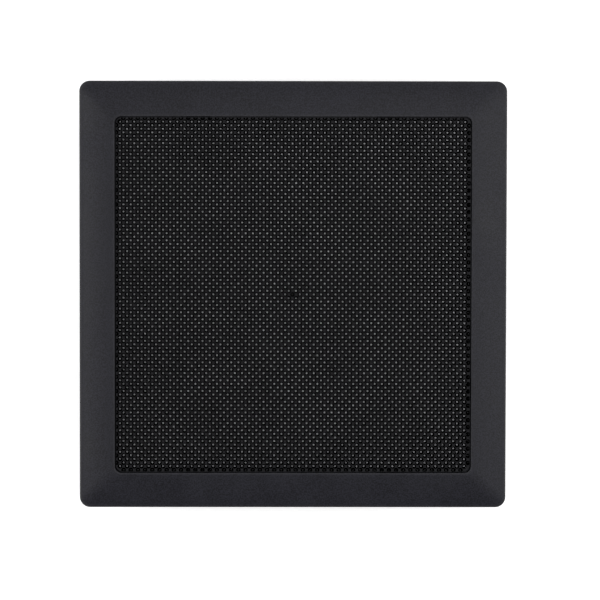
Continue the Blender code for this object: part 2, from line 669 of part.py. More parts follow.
def build():
    clear_scene()
    charcoal = plastic_or_metal("charcoal_plastic", (0.036, 0.036, 0.041), 0.45)
    black = plastic_or_metal("black_plastic", (0.012, 0.012, 0.013), 0.4)
    screen = plastic_or_metal("screen_fabric", (0.24, 0.24, 0.24), 0.8)
    smoked = plastic_or_metal("smoked_lens", (0.02, 0.02, 0.022), 0.15)
    rubber = plastic_or_metal("rubber", (0.02, 0.02, 0.02), 0.8)
    board = plastic_or_metal("board_laminate", (0.012, 0.05, 0.03), 0.5)
    tin = plastic_or_metal("tinned_steel", (0.62, 0.62, 0.6), 0.35, 1.0)
    aluminium = plastic_or_metal("aluminium", (0.7, 0.7, 0.7), 0.4, 1.0)
    steel = plastic_or_metal("screw_steel", (0.45, 0.45, 0.46), 0.35, 1.0)
    brass = plastic_or_metal("brass", (0.8, 0.6, 0.3), 0.3, 1.0)
    pad = plastic_or_metal("thermal_pad", (0.4, 0.42, 0.46), 0.9)
    white = plastic_or_metal("white_plastic", (0.75, 0.75, 0.72), 0.5)

    grille_slide = empty("grille_slide_axis")
    bracket_axis = empty("bracket_axis")

    front_bezel(charcoal)
    grille_panel(black, grille_slide)
    dust_screen(screen, grille_slide)
    rear_housing(charcoal)

    main_board(board)
    shield("processor_shield", tin, (14 * MM, -34 * MM), (58 * MM, 10 * MM))
    shield("radio_shield_low_band", tin, (-58 * MM, -44 * MM), (-22 * MM, -14 * MM))
    shield("radio_shield_high_band", tin, (-58 * MM, -4 * MM), (-22 * MM, 26 * MM))
    blocks = {
        "processor": (black, (27, -21, 10.3), (45, -3, 11.9)),
        "thermal_pad": (pad, (16, -32, 13.2), (56, 8, 13.8)),
        "status_led": (white, (-1.6, -1.4, 10.3), (1.6, 1.4, 11.7)),
    }
    for name, (material, low, high) in blocks.items():
        bm = bmesh.new()
        box(bm, [value * MM for value in low], [value * MM for value in high])
        place(name, bm, material)
    heat_sink(aluminium)
    sink_pins(white)
    light_pipe(smoked)

    network_jack("wan_jack", WAN_X, tin)
    network_jack("lan_jack", LAN_X, tin)
    power_inlet(black, brass)
    # Distances from the outer face of the wall, and radii: cap, flange behind the wall, stem
    sync = [(-0.8, 2.7), (-0.5, 3.2), (2.5, 3.2), (2.5, 4.3), (3.4, 4.3), (3.4, 1.5), (6.4, 1.5)]
    reset = [(1.0, 1.2), (2.5, 1.2), (2.5, 2.4), (3.4, 2.4), (3.4, 1.2), (6.4, 1.2)]
    push_button("sync_button", SYNC_X, sync, black)
    push_button("reset_button", RESET_X, reset, black)
    push_switch("sync_switch", SYNC_X, black)
    push_switch("reset_switch", RESET_X, black)

    for side, (wall, along, route) in ANTENNAS.items():
        antenna(f"antenna_{side}", wall, along, board)
        lead(f"antenna_lead_{side}", route, black)
        coax_plug(f"coax_plug_{side}", PLUGS[side], brass)

    # A screw that points up from its pocket in the back, and one that points down into a standoff
    long_screw = [(2.6, 2.8), (4.6, 2.8), (4.6, 1.5), (19.5, 1.5), (20.3, 0.7)]
    short_screw = [(5.6, 0.6), (6.1, 1.2), (10.3, 1.2), (10.3, 2.8), (11.6, 2.8), (12, 2.2)]
    turned_copies("housing_screw", corners(POST_XY), long_screw, steel)
    turned_copies("board_screw", BOARD_SCREWS, short_screw, steel)
    turned_copies("foot", corners(FOOT_XY), [(0, 5.7), (0.4, 6.1), (2.5, 6.1)], rubber)
    wall_bracket(charcoal, bracket_axis)


build()
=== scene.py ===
"""Looks of the mesh Wi-Fi node: its detailed pieces, materials, studio and camera round the CAD frame."""

import math

import bmesh
import bpy
from mathutils import Matrix, Vector
from mathutils.geometry import delaunay_2d_cdt


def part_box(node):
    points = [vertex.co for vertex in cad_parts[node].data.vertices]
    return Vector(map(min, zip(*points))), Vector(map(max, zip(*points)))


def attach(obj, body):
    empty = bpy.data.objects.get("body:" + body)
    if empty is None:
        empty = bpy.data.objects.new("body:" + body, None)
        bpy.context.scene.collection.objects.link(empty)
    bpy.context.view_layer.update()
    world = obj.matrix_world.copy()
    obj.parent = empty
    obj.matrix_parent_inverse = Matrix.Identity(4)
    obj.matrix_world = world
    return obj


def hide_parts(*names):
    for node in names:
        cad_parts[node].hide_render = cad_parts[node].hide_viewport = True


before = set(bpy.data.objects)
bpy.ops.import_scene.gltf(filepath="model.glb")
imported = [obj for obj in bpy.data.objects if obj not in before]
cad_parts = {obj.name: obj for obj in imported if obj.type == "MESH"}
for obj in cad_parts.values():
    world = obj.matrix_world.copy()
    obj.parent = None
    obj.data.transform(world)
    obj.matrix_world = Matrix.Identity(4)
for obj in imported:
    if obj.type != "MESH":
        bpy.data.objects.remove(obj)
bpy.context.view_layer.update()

MM = 0.001


def mm(x, y, z):
    return Vector((x, y, z)) * MM


# ---------------- places taken from the CAD

BEZEL_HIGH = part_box("front_bezel")[1]
PANEL_LOW, PANEL_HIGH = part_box("grille_panel")
SCREEN_LOW, SCREEN_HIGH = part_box("dust_screen")
HOUSING_LOW, HOUSING_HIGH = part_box("rear_housing")
BRACKET_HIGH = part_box("wall_bracket")[1]
BOARD_LOW, BOARD_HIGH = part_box("main_board")

GAP = 0.3 * MM  # air between neighbouring pieces
HALF = BEZEL_HIGH.x
THICK = BEZEL_HIGH.z
PANEL_HALF = PANEL_HIGH.x
PANEL_TOP = PANEL_HIGH.z
PANEL_BOTTOM = SCREEN_HIGH.z + GAP
HALF_FIELD = PANEL_HALF + GAP  # half the bezel's clear opening
LEDGE_TOP = PANEL_BOTTOM - GAP
LEDGE = 1.4 * MM
SKIRT_BOTTOM = 25.6 * MM
BEZEL_UNDERSIDE = HOUSING_HIGH.z + GAP
SKIRT_WALL = HALF - HOUSING_HIGH.x - GAP


# ---------------- camera and studio


def new_object(name, data):
    obj = bpy.data.objects.new(name, data)
    bpy.context.scene.collection.objects.link(obj)
    return obj


def make_camera():
    """A long lens far above the front, tipped a little towards +Y, as in the product view."""
    target = mm(2.92, -2.19, 33)
    distance = 1.5
    tilt = math.radians(3)
    turn = math.radians(-0.6)
    roll = math.radians(0.1)
    back = Vector((math.sin(turn), math.sin(tilt), math.cos(tilt))).normalized()
    data = bpy.data.cameras.new("camera")
    data.lens = 213.49
    data.sensor_width = 36
    data.clip_start = 0.05
    data.clip_end = 50
    camera = new_object("camera", data)
    across = Matrix.Rotation(roll, 3, back) @ Vector((0, 1, 0)).cross(back).normalized()
    upright = back.cross(across)
    axes = Matrix((across, upright, back)).transposed().to_4x4()
    camera.matrix_world = Matrix.Translation(target + back * distance) @ axes
    bpy.context.scene.camera = camera


def softbox(name, bearing, lean, distance, width, height, power):
    """A soft light that faces the node. Its bearing is from +X, and its lean from +Z, in degrees."""
    data = bpy.data.lights.new(name, "AREA")
    data.shape = "RECTANGLE"
    data.size = width
    data.size_y = height
    data.energy = power
    light = new_object(name, data)
    bearing, lean = math.radians(bearing), math.radians(lean)
    flat = math.sin(lean)
    away = Vector((flat * math.cos(bearing), flat * math.sin(bearing), math.cos(lean)))
    light.location = away * distance
    light.rotation_euler = (-away).to_track_quat("-Z", "Y").to_euler()


def make_studio():
    world = bpy.data.worlds.new("studio")
    world.use_nodes = True
    background = world.node_tree.nodes["Background"]
    background.inputs["Color"].default_value = (1, 1, 1, 1)
    background.inputs["Strength"].default_value = 0.25
    bpy.context.scene.world = world
    softbox("left_high", 180, 35, 1.2, 0.5, 0.9, 2.9)
    softbox("left_low", 180, 55, 1.2, 0.5, 0.9, 6.1)
    softbox("right_high", 0, 35, 1.2, 0.5, 0.9, 5.5)
    softbox("right_low", 0, 80, 1.2, 0.3, 0.9, 4.6)
    softbox("far_side", 90, 35, 1.2, 0.9, 0.5, 1.6)
    softbox("near_side", 270, 55, 1.2, 0.9, 0.5, 0.5)
    softbox("overhead", 45, 19, 0.64, 0.3, 0.3, 0.57)
    bpy.context.scene.view_settings.view_transform = "Standard"


# ---------------- materials


PATCH = 18 * MM  # size of the slow drift in a surface's tone
FINE_SHARE, SLOW_SHARE = 0.75, 0.25  # what the grain and the drift each add to the tone


def grained(name, dark, light, rough, grain, depth, metallic=0.0, specular=0.5, edge_highlight=0.0):
    """A moulded or cast surface: grain, in millimetres, over a slow drift, and a painted highlight on its
    sharp outer edges.
    """
    made, tree, shader, where = new_material(name, metallic, specular)
    fine = noise(tree, where, grain * MM, 3, 0.6)
    slow = noise(tree, where, PATCH, 4, 0.55)
    grains = scaled(tree, fine, 0.42, 0.58, 0, FINE_SHARE)
    drift = scaled(tree, slow, 0.3, 0.7, 0, SLOW_SHARE)
    colour = mixed(tree, combined(tree, "ADD", grains, drift), dark, light)
    # Painted highlight: sharp outer edges are lightened
    if edge_highlight:
        colour = painted_edge_highlight(tree, colour, slow, edge_highlight)
    tree.links.new(colour, shader.inputs["Base Color"])
    tree.links.new(scaled(tree, slow, 0.25, 0.75, *rough), shader.inputs["Roughness"])
    emboss(tree, shader, fine, depth * MM)
    return made


def metal(name, dark, light, rough, grain, depth):
    return grained(name, dark, light, rough, grain, depth, metallic=1.0)


def woven(name, gap, thread, pitch, depth, half, shade_band):
    """A plain weave whose crowns stand above dark gaps, with painted shade in a band round its edge."""
    made, tree, shader, where = new_material(name, metallic=0.0, specular=0.2)
    scale_per_metre = 2 * math.pi / 20  # a wave texture of this scale repeats once a metre
    waves = []
    for direction in "XY":
        wave = tree.nodes.new("ShaderNodeTexWave")
        wave.bands_direction = direction
        wave.inputs["Scale"].default_value = scale_per_metre / pitch
        wave.inputs["Distortion"].default_value = 0.6
        tree.links.new(where, wave.inputs["Vector"])
        waves.append(wave.outputs["Fac"])
    height = combined(tree, "ADD", *waves)
    crowns = scaled(tree, height, 0, 1.6, 0, 1)
    broad = noise(tree, where, 20 * MM, 2, 0.5)
    uneven = combined(tree, "MULTIPLY", crowns, scaled(tree, broad, 0.35, 0.65, 0.45, 1))
    apart = tree.nodes.new("ShaderNodeSeparateXYZ")
    tree.links.new(where, apart.inputs[0])
    sides = [combined(tree, "ABSOLUTE", apart.outputs[axis]) for axis in "XY"]
    # Painted shade: the weave darkens to 0.4 of its colour in a band round its edge
    edge_shade = scaled(tree, combined(tree, "MAXIMUM", *sides), half - shade_band, half, 1, 0.4)
    colour = mixed(tree, combined(tree, "MULTIPLY", uneven, edge_shade), gap, thread)
    tree.links.new(colour, shader.inputs["Base Color"])
    slow = noise(tree, where, 9 * MM, 3, 0.5)
    tree.links.new(scaled(tree, slow, 0.3, 0.7, 0.68, 0.84), shader.inputs["Roughness"])
    emboss(tree, shader, height, depth)
    return made


def new_material(name, metallic, specular):
    """A material with its node tree, its shader and its object coordinates."""
    made = bpy.data.materials.new(name)
    made.use_nodes = True
    tree = made.node_tree
    shader = tree.nodes["Principled BSDF"]
    shader.inputs["Metallic"].default_value = metallic
    shader.inputs["Specular IOR Level"].default_value = specular
    where = tree.nodes.new("ShaderNodeTexCoord").outputs["Object"]
    return made, tree, shader, where


def painted_edge_highlight(tree, colour, slow, edge_highlight):
    """Painted highlight: lightens a colour where the surface is a sharp outer edge, unevenly along it."""
    shape = tree.nodes.new("ShaderNodeNewGeometry")
    edge = scaled(tree, shape.outputs["Pointiness"], 0.505, 0.56, 0, 1)
    uneven = combined(tree, "MULTIPLY", edge, scaled(tree, slow, 0.3, 0.7, 0.6, 1))
    return mixed(tree, uneven, colour, (edge_highlight, edge_highlight, edge_highlight * 1.05))


def glow(material, strength):
    """Lights the material from within, as a light table does."""
    shader = material.node_tree.nodes["Principled BSDF"]
    shader.inputs["Emission Color"].default_value = (1, 1, 1, 1)
    shader.inputs["Emission Strength"].default_value = strength


def noise(tree, where, size, detail, roughness):
    node = tree.nodes.new("ShaderNodeTexNoise")
    node.inputs["Scale"].default_value = 1 / size
    node.inputs["Detail"].default_value = detail
    node.inputs["Roughness"].default_value = roughness
    tree.links.new(where, node.inputs["Vector"])
    return node.outputs["Fac"]


def mixed(tree, share, first, second):
    """From the first colour to the second. The first is either three numbers or another node's colour."""
    node = tree.nodes.new("ShaderNodeMix")
    node.data_type = "RGBA"
    factor, a, b, result = node.inputs[0], node.inputs[6], node.inputs[7], node.outputs[2]
    tree.links.new(share, factor)
    if isinstance(first, tuple):
        a.default_value = (*first, 1)
    else:
        tree.links.new(first, a)
    b.default_value = (*second, 1)
    return result


def emboss(tree, shader, height, depth):
    bump = tree.nodes.new("ShaderNodeBump")
    bump.inputs["Strength"].default_value = 1
    bump.inputs["Distance"].default_value = depth
    tree.links.new(height, bump.inputs["Height"])
    tree.links.new(bump.outputs[0], shader.inputs["Normal"])


def combined(tree, operation, *values):
    node = tree.nodes.new("ShaderNodeMath")
    node.operation = operation
    for place, value in enumerate(values):
        tree.links.new(value, node.inputs[place])
    return node.outputs[0]


def scaled(tree, value, *ends):
    """Carries a value from the span of the first two ends to that of the last two."""
    node = tree.nodes.new("ShaderNodeMapRange")
    for place, number in zip(("From Min", "From Max", "To Min", "To Max"), ends):
        node.inputs[place].default_value = number
    tree.links.new(value, node.inputs["Value"])
    return node.outputs[0]


# ---------------- mesh helpers


SHARP = math.radians(35)  # an edge that turns more than this is shaded as an edge


def piece(name, bm, materials, body="housing", location=(0, 0, 0), sharp=SHARP):
    """A scene object from a bmesh, parented to an empty named after a CAD body when a body is given."""
    bmesh.ops.recalc_face_normals(bm, faces=bm.faces)
    mesh = bpy.data.meshes.new(name)
    bm.to_mesh(mesh)
    bm.free()
    crisp(mesh, sharp)
    for material in materials:
        mesh.materials.append(material)
    obj = new_object(name, mesh)
    obj.location = location
    if body:
        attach(obj, body)
    return obj


def loft(bm, rings, closed=False):
    """Skins rings of equal length. An open loft is capped, and a closed one runs back to its start."""
    rows = [[bm.verts.new(point) for point in ring] for ring in rings]
    pairs = list(zip(rows, rows[1:]))
    if closed:
        pairs.append((rows[-1], rows[0]))
    else:
        bm.faces.new(rows[0])
        bm.faces.new(rows[-1])
    for below, above in pairs:
        for i in range(len(below)):
            j = (i + 1) % len(below)
            bm.faces.new((below[i], below[j], above[j], above[i]))


def rounded_square(half, radius, z, steps=12):
    points = []
    for quarter in range(4):
        middle = math.radians(45 + 90 * quarter)
        inset = (half - radius) * math.sqrt(2)
        for step in range(steps + 1):
            angle = math.radians(90 * quarter + 90 * step / steps)
            x = inset * math.cos(middle) + radius * math.cos(angle)
            y = inset * math.sin(middle) + radius * math.sin(angle)
            points.append((x, y, z))
    return points


def floor(material):
    bm = bmesh.new()
    reach = 40  # so far that even a low view doesn't see past it
    bmesh.ops.create_grid(bm, x_segments=8, y_segments=8, size=reach)
    obj = piece("floor", bm, [material], None, (0, 0, -0.2 * MM))  # just clear of the feet


def crisp(mesh, sharp=SHARP):
    mesh.shade_smooth()
    mesh.set_sharp_from_angle(angle=sharp)


def cut(obj, bm):
    carve(obj, bm, "DIFFERENCE")


def join(obj, bm):
    carve(obj, bm, "UNION")


def carve(obj, bm, operation):
    """Adds the shapes in bm to obj, or cuts them away, and keeps the result as obj's own mesh."""
    tool = piece("carving_tool", bm, [], None)
    modifier = obj.modifiers.new("carving", "BOOLEAN")
    modifier.operation = operation
    modifier.solver = "EXACT"
    modifier.object = tool
    graph = bpy.context.evaluated_depsgraph_get()
    made = bpy.data.meshes.new_from_object(obj.evaluated_get(graph))
    before = obj.data
    obj.modifiers.clear()
    obj.data = made
    bpy.data.meshes.remove(before)
    bpy.data.objects.remove(tool)
    crisp(made)


def box(bm, low, high):
    low, high = Vector(low), Vector(high)
    shape = Matrix.Translation((low + high) / 2) @ Matrix.Diagonal((*(high - low), 1))
    return bmesh.ops.create_cube(bm, size=1, matrix=shape)["verts"]


def rounded_block(bm, low, high, radius, segments=2, material=0):
    """A box with rounded edges."""
    verts = box(bm, low, high)
    edges = list({edge for vert in verts for edge in vert.link_edges})
    faces = {face for vert in verts for face in vert.link_faces}
    if radius:
        made = bmesh.ops.bevel(
            bm, geom=edges, offset=radius, segments=segments, profile=0.5, affect="EDGES",
            clamp_overlap=True,
        )
        faces = {face for face in faces if face.is_valid} | set(made["faces"])
    for face in faces:
        face.material_index = material


def disc(bm, centre, radius, low, high, sides=48):
    """An upright cylinder between two heights."""
    middle = Matrix.Translation((*centre, (low + high) / 2))
    bmesh.ops.create_cone(
        bm, cap_ends=True, segments=sides, radius1=radius, radius2=radius, depth=high - low, matrix=middle
    )


def prism(bm, outline, start, depth):
    """Moves an outline along depth and fills both ends."""
    start, depth = Vector(start), Vector(depth)
    near = [start + Vector(point) for point in outline]
    loft(bm, [near, [point + depth for point in near]])


def sector(bm, inner, outer, middle, width, low, high, steps=10):
    """A block bent round the Z axis, from its middle angle and its width in degrees."""
    def ring(z):
        angles = [math.radians(middle + width * (i / steps - 0.5)) for i in range(steps + 1)]
        out = [(outer * math.cos(a), outer * math.sin(a), z) for a in angles]
        back = [(inner * math.cos(a), inner * math.sin(a), z) for a in reversed(angles)]
        return out + back

    loft(bm, [ring(low), ring(high)])


def turned(bm, profile, centre=(0, 0, 0), axis=(0, 0, 1), sides=48, material=0):
    """A solid of revolution. Its profile is (distance along axis, radius) in millimetres, end to end."""
    along = Vector(axis)
    side = along.orthogonal().normalized()
    start = Vector(centre)
    before = set(bm.faces)
    rings = []
    for distance, radius in profile:
        turns = [Matrix.Rotation(2 * math.pi * i / sides, 3, along) for i in range(sides)]
        middle = start + along * (distance * MM)
        rings.append([middle + turn @ side * (radius * MM) for turn in turns])
    loft(bm, rings)
    for face in set(bm.faces) - before:
        face.material_index = material


def oblong_ring(length, width, z, carry=None, steps=12):
    """The outline of a slot with two straight sides along X and round ends. carry moves it elsewhere."""
    carry = carry or Matrix.Identity(4)
    radius = width / 2
    reach = length / 2 - radius
    outline = []
    for sign, first in ((1, -90), (-1, 90)):
        for step in range(steps + 1):
            angle = math.radians(first + 180 * step / steps)
            x = sign * reach + radius * math.cos(angle)
            outline.append(carry @ Vector((x, radius * math.sin(angle), z)))
    return outline


def oblong(bm, stations, carry=None):
    """A solid through slot outlines, each given as its length, width and height in millimetres."""
    loft(bm, [oblong_ring(length * MM, width * MM, z * MM, carry) for length, width, z in stations])


SUNK = 0.02  # millimetres by which a part is sunk into the face it stands on


def corners(distance):
    return [(sx * distance, sy * distance) for sx in (-1, 1) for sy in (-1, 1)]


def middle_of(node):
    low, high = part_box(node)
    return (low + high) / 2


def stand_in(obj, slot, *nodes):
    """The piece stands for CAD nodes, which it hides. slot is not used."""
    if nodes:
        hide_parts(*nodes)
    return obj


# ---------------- front


OVERHANG = 0.2 * MM  # of the bezel's lip over its clear opening
PARTING = 0.25 * MM  # the panel is this much smaller than its CAD plate, which leaves a dark parting line


def front_bezel(material):
    """A frame whose face leans away from the opening, more and more towards its rounded outer edge."""
    opening = HALF_FIELD - OVERHANG
    lip_r = 0.16 * MM
    round_r = 1.1 * MM
    crest = opening + lip_r
    edge = HALF - round_r
    # The face's drop at its outer edge: a straight lean, and a curl that grows with a power of the distance
    lean, curl, curl_power = 1.34 * MM, 1.4 * MM, 2.3
    outer_r, inner_r = 4.4 * MM, 2.8 * MM
    edge_z = THICK - lean - curl
    chamfer = 0.3 * MM
    section = [(HALF - chamfer, outer_r, SKIRT_BOTTOM), (HALF, outer_r, SKIRT_BOTTOM + chamfer)]
    round_steps = 6
    for step in range(round_steps):
        angle = math.radians(90 * step / round_steps)
        z = edge_z - round_r + round_r * math.sin(angle)
        section.append((edge + round_r * math.cos(angle), outer_r, z))
    face_steps = 16
    for step in range(face_steps):
        share = 1 - step / face_steps
        radius = inner_r + (outer_r - inner_r) * share
        drop = lean * share + curl * share**curl_power
        section.append((crest + (edge - crest) * share, radius, THICK - drop))
    # The lip turns down into the opening in a small round
    lip_steps = 3
    for step in range(lip_steps + 1):
        angle = math.radians(90 * step / lip_steps)
        z = THICK - lip_r + lip_r * math.cos(angle)
        section.append((crest - lip_r * math.sin(angle), inner_r, z))
    section += [
        (opening, inner_r, LEDGE_TOP),
        (HALF_FIELD - LEDGE, inner_r, LEDGE_TOP),
        (HALF_FIELD - LEDGE, inner_r, BEZEL_UNDERSIDE),
        (HALF - SKIRT_WALL, outer_r, BEZEL_UNDERSIDE),
        (HALF - SKIRT_WALL, outer_r, SKIRT_BOTTOM),
    ]
    bm = bmesh.new()
    loft(bm, [rounded_square(*station) for station in section], closed=True)
    bezel = piece("bezel_shell", bm, [material], sharp=math.radians(45))
    bezel_posts_and_notches(bezel)
    stand_in(bezel, "charcoal_plastic", "front_bezel")


HOLE_PITCH = 2 * HALF / 59.49  # between neighbours in a row; every other row is half of it along
HOLE_SHIFT = Vector((-0.29, 0.21)) * MM  # the pattern sits a little off the panel's middle
HOLE_TOP_R = 1.02 * MM
HOLE_BOTTOM_R = 0.43 * MM
HOLE_ROWS = 49  # rows each way from the middle
TOP_SIDES, BOTTOM_SIDES = 12, 6


def hole_places():
    half_pitch = HOLE_PITCH / 2
    for i in range(-HOLE_ROWS, HOLE_ROWS + 1):
        for j in range(-HOLE_ROWS, HOLE_ROWS + 1):
            in_corner = abs(i) == abs(j) == HOLE_ROWS
            if (i + j) % 2 == 0 and not in_corner:
                yield HOLE_SHIFT.x + i * half_pitch, HOLE_SHIFT.y + j * half_pitch


def ring_round(x, y, radius, sides, limit):
    """A hole's rim, kept inside the panel's edge."""
    points = []
    for k in range(sides):
        angle = 2 * math.pi * (k + 0.5) / sides
        px = max(-limit, min(limit, x + radius * math.cos(angle)))
        py = max(-limit, min(limit, y + radius * math.sin(angle)))
        points.append((px, py))
    return points


def pierced_face(outline, rings):
    """Triangles between an outline and the rings inside it, as indices into outline + rings in order."""
    points = list(outline)
    edges = [(k, (k + 1) % len(outline)) for k in range(len(outline))]
    owner = [-1] * len(outline)
    for number, ring in enumerate(rings):
        first = len(points)
        points += ring
        edges += [(first + k, first + (k + 1) % len(ring)) for k in range(len(ring))]
        owner += [number] * len(ring)
    found = delaunay_2d_cdt([Vector(p) for p in points], edges, [], 4, 1e-9, True)
    back = [origins[0] for origins in found[3]]
    triangles = []
    for face in found[2]:
        triangle = [back[v] for v in face]
        owners = {owner[v] for v in triangle}
        if len(owners) > 1 or -1 in owners:
            triangles.append(triangle)
    return points, triangles


def grille_panel(material, wall_shade_material):
    """The perforated panel. Its holes narrow towards the back, and their walls get painted shade: a
    near-black, matt colour.
    """
    bevel = 0.12 * MM
    radius = 2.9 * MM
    half = PANEL_HALF - PARTING
    limit = half - 0.22 * MM  # no hole comes nearer the edge
    places = list(hole_places())
    top_rings = [ring_round(x, y, HOLE_TOP_R, TOP_SIDES, limit) for x, y in places]
    bottom_rings = [ring_round(x, y, HOLE_BOTTOM_R, BOTTOM_SIDES, limit) for x, y in places]
    rim_steps = 5
    top_rim = [p[:2] for p in rounded_square(half - bevel, radius - bevel, 0, rim_steps)]
    bottom_rim = [p[:2] for p in rounded_square(half, radius, 0, rim_steps)]
    top_points, top_triangles = pierced_face(top_rim, top_rings)
    bottom_points, bottom_triangles = pierced_face(bottom_rim, bottom_rings)
    vertices = [(*p, PANEL_TOP) for p in top_points]
    below = len(vertices)
    vertices += [(*p, PANEL_BOTTOM) for p in bottom_points]
    shoulder = len(vertices)
    vertices += [(*p, PANEL_TOP - bevel) for p in bottom_rim]
    faces = top_triangles + [[below + v for v in reversed(t)] for t in bottom_triangles]
    count = len(top_rim)
    for k in range(count):
        n = (k + 1) % count
        faces.append([shoulder + k, shoulder + n, n, k])
        faces.append([below + k, below + n, shoulder + n, shoulder + k])
    wall_faces = []
    for number in range(len(places)):
        top = count + number * TOP_SIDES
        bottom = below + count + number * BOTTOM_SIDES
        for m in range(BOTTOM_SIDES):
            t0, t1, t2 = (top + (2 * m + step) % TOP_SIDES for step in range(3))
            b0, b1 = bottom + m, bottom + (m + 1) % BOTTOM_SIDES
            wall_faces.append([t0, t1, b0])
            wall_faces.append([t1, t2, b1, b0])
    mesh = bpy.data.meshes.new("faces_and_walls")
    mesh.from_pydata(vertices, [], faces + wall_faces)
    # The hole walls take the second material, which is painted shade
    mesh.polygons.foreach_set("material_index", [0] * len(faces) + [1] * len(wall_faces))
    bm = bmesh.new()
    bm.from_mesh(mesh)
    bpy.data.meshes.remove(mesh)
    panel = piece("perforated_panel", bm, [material, wall_shade_material], "grille", sharp=math.radians(40))
    stand_in(panel, "black_plastic", "grille_panel")


POST_XY = 78.5 * MM
FOOT_XY = middle_of("foot_4").x


def bezel_posts_and_notches(bezel):
    """Four posts for the screws, and a notch in the ledge for each tongue of the panel."""
    posts = bmesh.new()
    cuts = bmesh.new()
    for at in corners(POST_XY):
        disc(posts, at, 3.4 * MM, 12 * MM, BEZEL_UNDERSIDE + 0.5 * MM)
        disc(cuts, at, 1.8 * MM, 11 * MM, 24 * MM, 24)
    for middle, along_x in tongue_places():
        plan_box(cuts, middle, along_x, 10 * MM, 2 * MM, BEZEL_UNDERSIDE - MM, LEDGE_TOP + 0.2 * MM)
    join(bezel, posts)
    cut(bezel, cuts)


def tongue_places():
    """Two tongues on each side of the panel: their middle, and whether the side runs along X."""
    reach = PANEL_HALF - 0.6 * MM
    for offset in (-40 * MM, 40 * MM):
        for sign in (-1, 1):
            yield (sign * reach, offset), False
            yield (offset, sign * reach), True


def plan_box(bm, middle, along_x, length, width, low, high, radius=0):
    x, y = middle
    half_x, half_y = (length / 2, width / 2) if along_x else (width / 2, length / 2)
    rounded_block(bm, (x - half_x, y - half_y, low), (x + half_x, y + half_y, high), radius)


def panel_tongues(material):
    bm = bmesh.new()
    for middle, along_x in tongue_places():
        plan_box(bm, middle, along_x, 9 * MM, 0.9 * MM, PANEL_LOW.z, PANEL_BOTTOM + SUNK * MM, 0.2 * MM)
    stand_in(piece("panel_tongues", bm, [material], "grille"), "black_plastic")


def dust_screen(material):
    """A fine woven sheet bonded to the panel's back, with an oblong window over the light pipe."""
    half = SCREEN_HIGH.x
    radius = 2 * MM
    edge = 0.08 * MM
    low, high = SCREEN_LOW.z, SCREEN_HIGH.z
    bm = bmesh.new()
    rings = []
    for inset, z in ((edge, low), (0, low + edge), (0, high - edge), (edge, high)):
        rings.append(rounded_square(half - inset, radius - inset, z))
    loft(bm, rings)
    screen = piece("screen_weave", bm, [material], "grille")
    window = bmesh.new()
    oblong(window, [(5.4, 2.6, z / MM) for z in (low - MM, high + MM)])
    cut(screen, window)
    stand_in(screen, "screen_fabric", "dust_screen")


# ---------------- back shell and bracket

WELL_R = 50 * MM
HOUSING_HALF = HOUSING_HIGH.x
WALL = 2.2 * MM
HOUSING_INNER = HOUSING_HALF - WALL
BACK = HOUSING_LOW.z
FLOOR_TOP = BACK + WALL
WELL_ROOF = BACK + 3.2 * MM
ON_BOARD = BOARD_HIGH.z + GAP
BOARD_SCREWS = [(x * MM, y * MM) for x in (-66, 66) for y in (-72, 38)]
VENT_PITCH = 7 * MM
JACKS = {node: middle_of(node).x for node in ("wan_jack", "lan_jack")}
POWER = middle_of("inlet_pin")
SYNC = middle_of("sync_button")
RESET = middle_of("reset_button")
INWARDS = (0, 1, 0)  # from the wall that has the sockets


